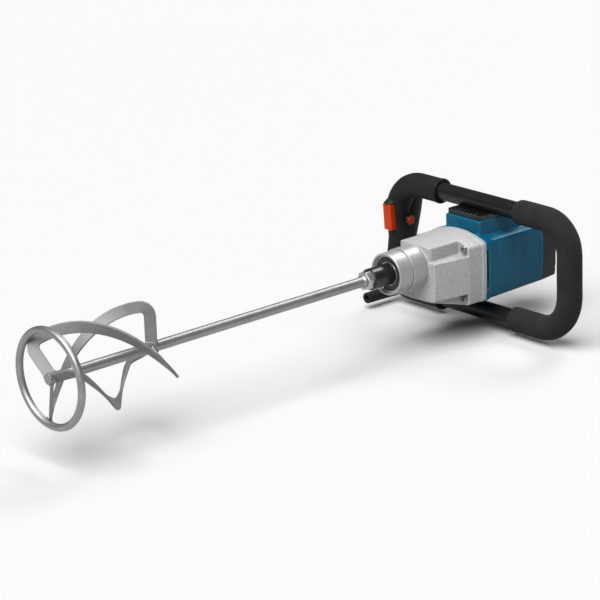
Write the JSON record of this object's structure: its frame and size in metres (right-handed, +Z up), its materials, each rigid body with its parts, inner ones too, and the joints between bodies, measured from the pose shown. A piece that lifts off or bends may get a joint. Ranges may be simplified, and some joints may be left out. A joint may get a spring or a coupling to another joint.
{
  "type": "handheld mixing drill with paddle",
  "caption": "Two-handed electric mixing drill: geared motor in a round tube frame with a foam grip and a switch grip, driving a helical paddle with an end ring.",
  "frame": {"origin": "centre of the neck's front face, on the spindle axis", "axes": "+X along the spindle axis from the paddle to the motor's rear, +Y towards the switch grip, +Z up towards the frame's upper tube"},
  "size_m": [0.8992, 0.3828, 0.1997],
  "materials": {
    "cast_aluminium": "grainy die casting",
    "blue_plastic": "satin moulded",
    "black_plastic": "fine grain moulded",
    "grip_rubber": "fine grain soft moulding",
    "grip_foam": "closed cell foam",
    "tube_paint": "satin black powder coat",
    "orange_plastic": "smooth moulded",
    "bezel_plastic": "smooth moulded",
    "zinc_screws": "zinc plated",
    "spindle_steel": "black oxide",
    "machined_steel": "ground",
    "seal_rubber": "smooth",
    "bush_bronze": "sintered bronze",
    "core_steel": "laminated",
    "copper": "enamelled winding and bars",
    "carbon": "pressed graphite",
    "paddle_steel": "zinc plated mild steel"
  },
  "bodies": {
    "machine": {"gearbox_housing": "cast_aluminium", "gear_plate": "cast_aluminium", "motor_housing": "blue_plastic", "rear_cap": "black_plastic", "upper_saddle": "black_plastic", "control_module": "black_plastic", "brush_holders": "black_plastic", "air_guide": "black_plastic", "switch_module": "black_plastic", "lower_saddle": "black_plastic", "switch_handle_front": "grip_rubber", "switch_handle_rear": "grip_rubber", "cord_sleeve": "grip_rubber", "foam_grip": "grip_foam", "frame_tube": "tube_paint", "lock_bezel": "bezel_plastic", "gearbox_screws": "zinc_screws", "rear_cap_screws": "zinc_screws", "frame_screws": "zinc_screws", "handle_screws": "zinc_screws", "spindle_front_bearing": "machined_steel", "spindle_retaining_ring": "machined_steel", "armature_front_bearing": "machined_steel", "armature_rear_bearing": "machined_steel", "spindle_seal": "seal_rubber", "spindle_rear_bush": "bush_bronze", "layshaft_front_bush": "bush_bronze", "layshaft_rear_bush": "bush_bronze", "stator_core": "core_steel", "field_coils": "copper", "carbon_brushes": "carbon"},
    "spindle": {"spindle": "spindle_steel", "output_gear": "machined_steel", "output_gear_key": "machined_steel", "paddle_shaft": "paddle_steel", "paddle_ring": "paddle_steel", "paddle_blade_1": "paddle_steel", "paddle_blade_2": "paddle_steel", "paddle_blade_3": "paddle_steel"},
    "layshaft": {"layshaft": "machined_steel", "layshaft_gear": "machined_steel"},
    "armature": {"armature_shaft": "machined_steel", "armature_core": "core_steel", "commutator": "copper", "cooling_fan": "black_plastic"},
    "trigger": {"trigger": "orange_plastic"},
    "lock_button": {"lock_button": "orange_plastic"}
  },
  "joints": [
    {"name": "spindle_spin", "type": "hinge", "parent": "machine", "child": "spindle", "pos_m": [0, 0, 0], "axis": [1, 0, 0], "continuous": true},
    {"name": "layshaft_spin", "type": "hinge", "parent": "machine", "child": "layshaft", "pos_m": [0.1, 0.02116, -0.02532], "axis": [1, 0, 0], "continuous": true},
    {"name": "armature_spin", "type": "hinge", "parent": "machine", "child": "armature", "pos_m": [0.2, 0, -0.014], "axis": [1, 0, 0], "continuous": true},
    {"name": "trigger_slide", "type": "slide", "parent": "machine", "child": "trigger", "axis": [1, 0, 0], "range_m": [0, 0.006], "stiffness_N_per_m": 800, "springref_m": -0.004},
    {"name": "lock_button_slide", "type": "slide", "parent": "machine", "child": "lock_button", "axis": [0, 1, 0], "range_m": [0, 0.003], "stiffness_N_per_m": 600, "springref_m": -0.003}
  ],
  "couplings": [
    {"joint": "layshaft_spin", "follows": "spindle_spin", "ratio": -3.4},
    {"joint": "armature_spin", "follows": "spindle_spin", "ratio": 17}
  ]
}
